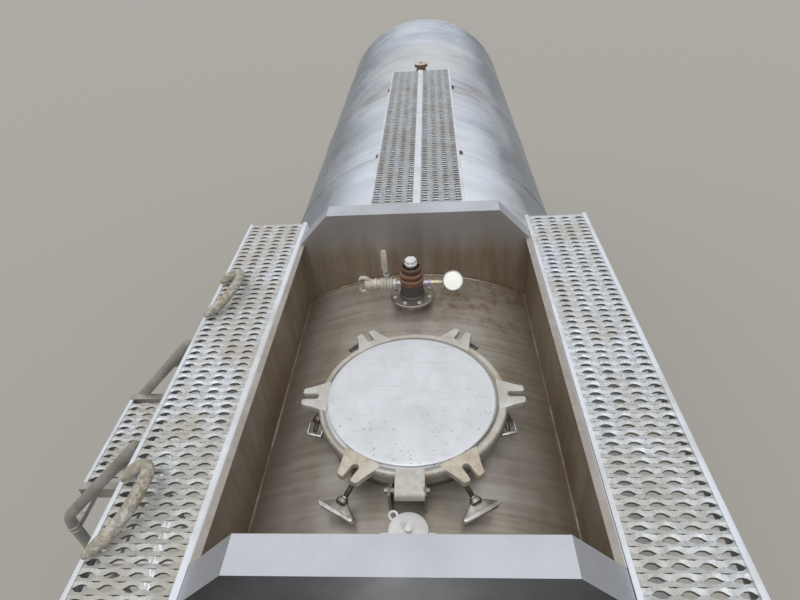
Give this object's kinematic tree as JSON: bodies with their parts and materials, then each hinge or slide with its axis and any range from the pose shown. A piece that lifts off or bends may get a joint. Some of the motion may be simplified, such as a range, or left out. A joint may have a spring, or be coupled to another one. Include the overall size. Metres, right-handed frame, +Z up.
{
  "type": "stainless tank semi-trailer",
  "caption": "Insulated stainless tank semi-trailer with a top manway and forked-ear lid, spill box, grating walkways, side ladder, landing gear and twin-wheel tandem.",
  "frame": {"origin": "on the ground, under the centre of the manway, which is the middle of the trailer's length and width", "axes": "+X forward to the kingpin end, +Y to the road side (left), +Z up"},
  "size_m": [13.106, 2.438, 3.526],
  "materials": {
    "tank_middle": "polished stainless jacket, weathered",
    "tank_front": "polished stainless jacket, weathered",
    "tank_rear": "polished stainless jacket, weathered",
    "jacket_bands": "polished stainless",
    "manway_collar": "stained stainless",
    "manway_lugs": "stained stainless",
    "manway_lid": "pitted bead-blasted stainless",
    "swing_bolts": "stained stainless",
    "relief_valve": "black with rusty rings, pale cap",
    "air_valve": "cream weathered",
    "pressure_gauge": "white dial, steel case",
    "cleaning_cap": "white weathered",
    "spill_box_sides": "stained stainless plate",
    "box_rails": "brushed stainless plate",
    "side_walkways": "mill finish, weathered",
    "top_walkway": "mill finish, weathered",
    "walkway_brackets": "brushed stainless",
    "top_fitting": "brown, rusty",
    "ladder": "dull brown-grey",
    "ladder_step": "mill finish, weathered",
    "grab_loop_front": "weathered cream hose sleeve",
    "grab_loop_rear": "weathered cream hose sleeve",
    "coupler": "black, greasy",
    "front_connections": "cast and painted",
    "landing_gear": "black, worn",
    "landing_crank": "black, worn",
    "subframe": "dark grey, dusty",
    "trailing_arms": "black, dusty",
    "air_springs": "black rubber",
    "axles": "black, dusty",
    "fenders": "polished stainless, dusty",
    "mud_flaps": "black rubber",
    "rear_guard": "brushed stainless",
    "tail_lamps": "red lens",
    "outlet_valve": "stainless",
    "hose_tubes": "stainless, dusty",
    "air_tanks": "black",
    "tyres_front_left": "rubber",
    "wheel_front_left": "machined, dusty",
    "tyres_front_right": "rubber",
    "wheel_front_right": "machined, dusty",
    "tyres_rear_left": "rubber",
    "wheel_rear_left": "machined, dusty",
    "tyres_rear_right": "rubber",
    "wheel_rear_right": "machined, dusty"
  },
  "bodies": {
    "trailer": {"tank_middle": "tank_middle", "tank_front": "tank_front", "tank_rear": "tank_rear", "jacket_bands": "jacket_bands", "manway_collar": "manway_collar", "manway_lugs": "manway_lugs", "swing_bolts": "swing_bolts", "relief_valve": "relief_valve", "air_valve": "air_valve", "pressure_gauge": "pressure_gauge", "cleaning_cap": "cleaning_cap", "spill_box_sides": "spill_box_sides", "box_rails": "box_rails", "side_walkways": "side_walkways", "top_walkway": "top_walkway", "walkway_brackets": "walkway_brackets", "top_fitting": "top_fitting", "ladder": "ladder", "ladder_step": "ladder_step", "grab_loop_front": "grab_loop_front", "grab_loop_rear": "grab_loop_rear", "coupler": "coupler", "front_connections": "front_connections", "landing_gear": "landing_gear", "landing_crank": "landing_crank", "subframe": "subframe", "trailing_arms": "trailing_arms", "air_springs": "air_springs", "axles": "axles", "fenders": "fenders", "mud_flaps": "mud_flaps", "rear_guard": "rear_guard", "tail_lamps": "tail_lamps", "outlet_valve": "outlet_valve", "hose_tubes": "hose_tubes", "air_tanks": "air_tanks"},
    "manway_lid": {"manway_lid": "manway_lid"},
    "wheels_front_left": {"tyres_front_left": "tyres_front_left", "wheel_front_left": "wheel_front_left"},
    "wheels_front_right": {"tyres_front_right": "tyres_front_right", "wheel_front_right": "wheel_front_right"},
    "wheels_rear_left": {"tyres_rear_left": "tyres_rear_left", "wheel_rear_left": "wheel_rear_left"},
    "wheels_rear_right": {"tyres_rear_right": "tyres_rear_right", "wheel_rear_right": "wheel_rear_right"}
  },
  "joints": [
    {"name": "manway_lid_hinge", "type": "hinge", "parent": "trailer", "child": "manway_lid", "pos_m": [0.325, 0, 3.3123], "axis": [0, 1, 0], "range_deg": [0, 105]},
    {"name": "spin_front_left", "type": "hinge", "parent": "trailer", "child": "wheels_front_left", "pos_m": [-4.455, 0.908, 0.527], "axis": [0, 1, 0], "continuous": true},
    {"name": "spin_front_right", "type": "hinge", "parent": "trailer", "child": "wheels_front_right", "pos_m": [-4.455, -0.908, 0.527], "axis": [0, 1, 0], "continuous": true},
    {"name": "spin_rear_left", "type": "hinge", "parent": "trailer", "child": "wheels_rear_left", "pos_m": [-5.7, 0.908, 0.527], "axis": [0, 1, 0], "continuous": true},
    {"name": "spin_rear_right", "type": "hinge", "parent": "trailer", "child": "wheels_rear_right", "pos_m": [-5.7, -0.908, 0.527], "axis": [0, 1, 0], "continuous": true}
  ]
}
